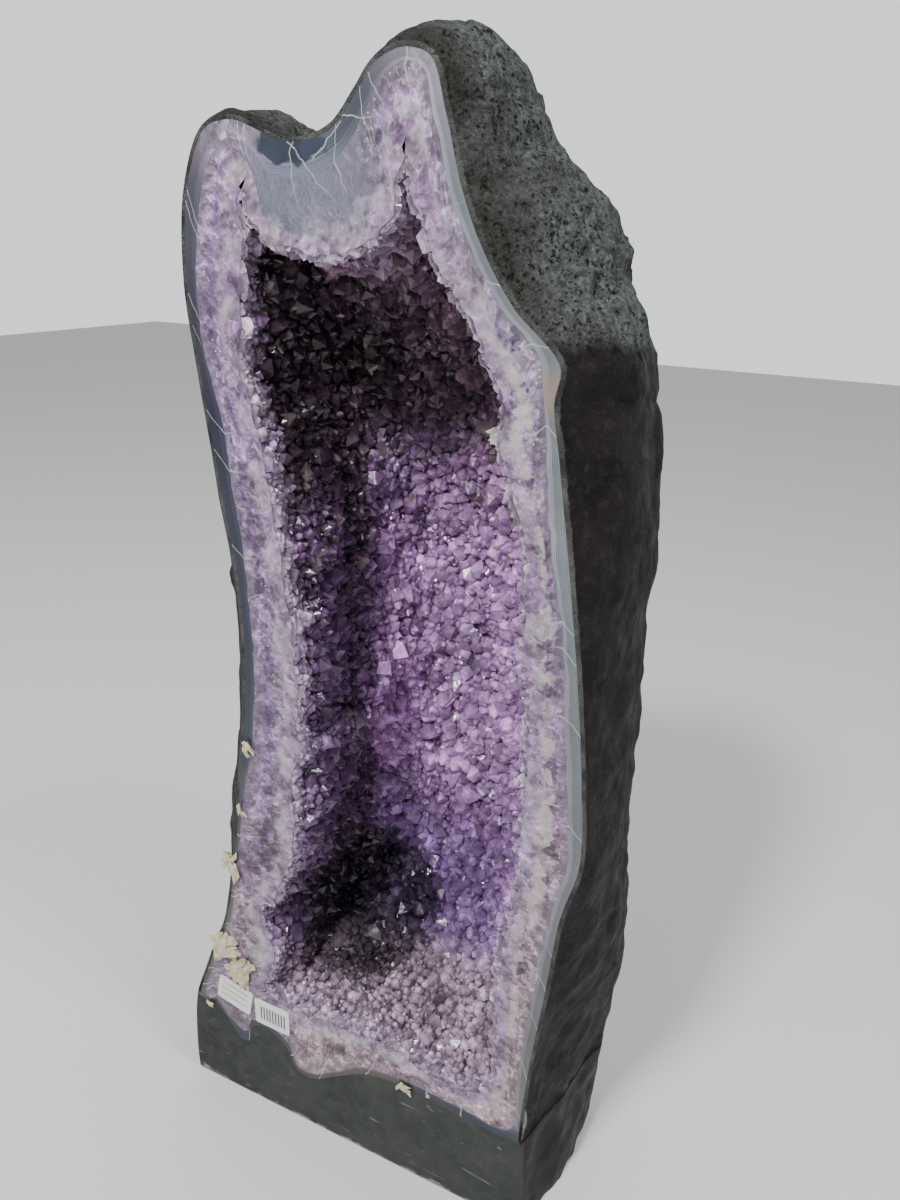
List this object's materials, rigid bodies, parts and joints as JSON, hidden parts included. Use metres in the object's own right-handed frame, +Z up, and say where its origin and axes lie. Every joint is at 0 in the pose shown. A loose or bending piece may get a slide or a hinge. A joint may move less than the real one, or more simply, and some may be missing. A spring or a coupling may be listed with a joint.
{
  "type": "geode half",
  "caption": "Tall amethyst geode half with a flat polished cut face, a deep crystal-lined hollow and a dark cement foot.",
  "frame": {"origin": "middle of the footprint box on the resting plane", "axes": "+Z up the geode, +Y from the cut face to the rounded back, +X to the right of the cut face"},
  "size_m": [0.3994, 0.2636, 0.9374],
  "materials": {
    "basalt_coated": "pitted grey-green basalt with a near-black coat lower down, matt",
    "cement_dark": "dark greenish-grey cement, satin, scuffed",
    "agate_blue_grey": "polished blue-grey chalcedony",
    "quartz_lilac_white": "polished comb quartz, lilac to white",
    "amethyst_purple": "glassy purple crystal points",
    "amethyst_point": "glassy purple crystal",
    "quartz_pale": "glassy pale grey crystal",
    "calcite_cream": "waxy cream crystal",
    "label_paper": "coated white paper, blank"
  },
  "bodies": {
    "root": {"rock_shell": "basalt_coated", "cement_foot": "cement_dark", "agate_band": "agate_blue_grey", "quartz_band": "quartz_lilac_white", "amethyst_druse": "amethyst_purple", "calcite_upper_blade": "calcite_cream", "calcite_lower_blade": "calcite_cream", "calcite_edge_cluster": "calcite_cream", "calcite_edge_small": "calcite_cream", "calcite_left_middle": "calcite_cream", "calcite_foot_corner": "calcite_cream", "calcite_foot_middle": "calcite_cream", "calcite_floor_chunk": "calcite_cream", "amethyst_point_upper": "amethyst_point", "amethyst_point_middle": "amethyst_point", "amethyst_point_left": "amethyst_point", "amethyst_point_low": "amethyst_point", "quartz_point_right": "quartz_pale", "label_left": "label_paper", "label_right": "label_paper"}
  },
  "joints": []
}
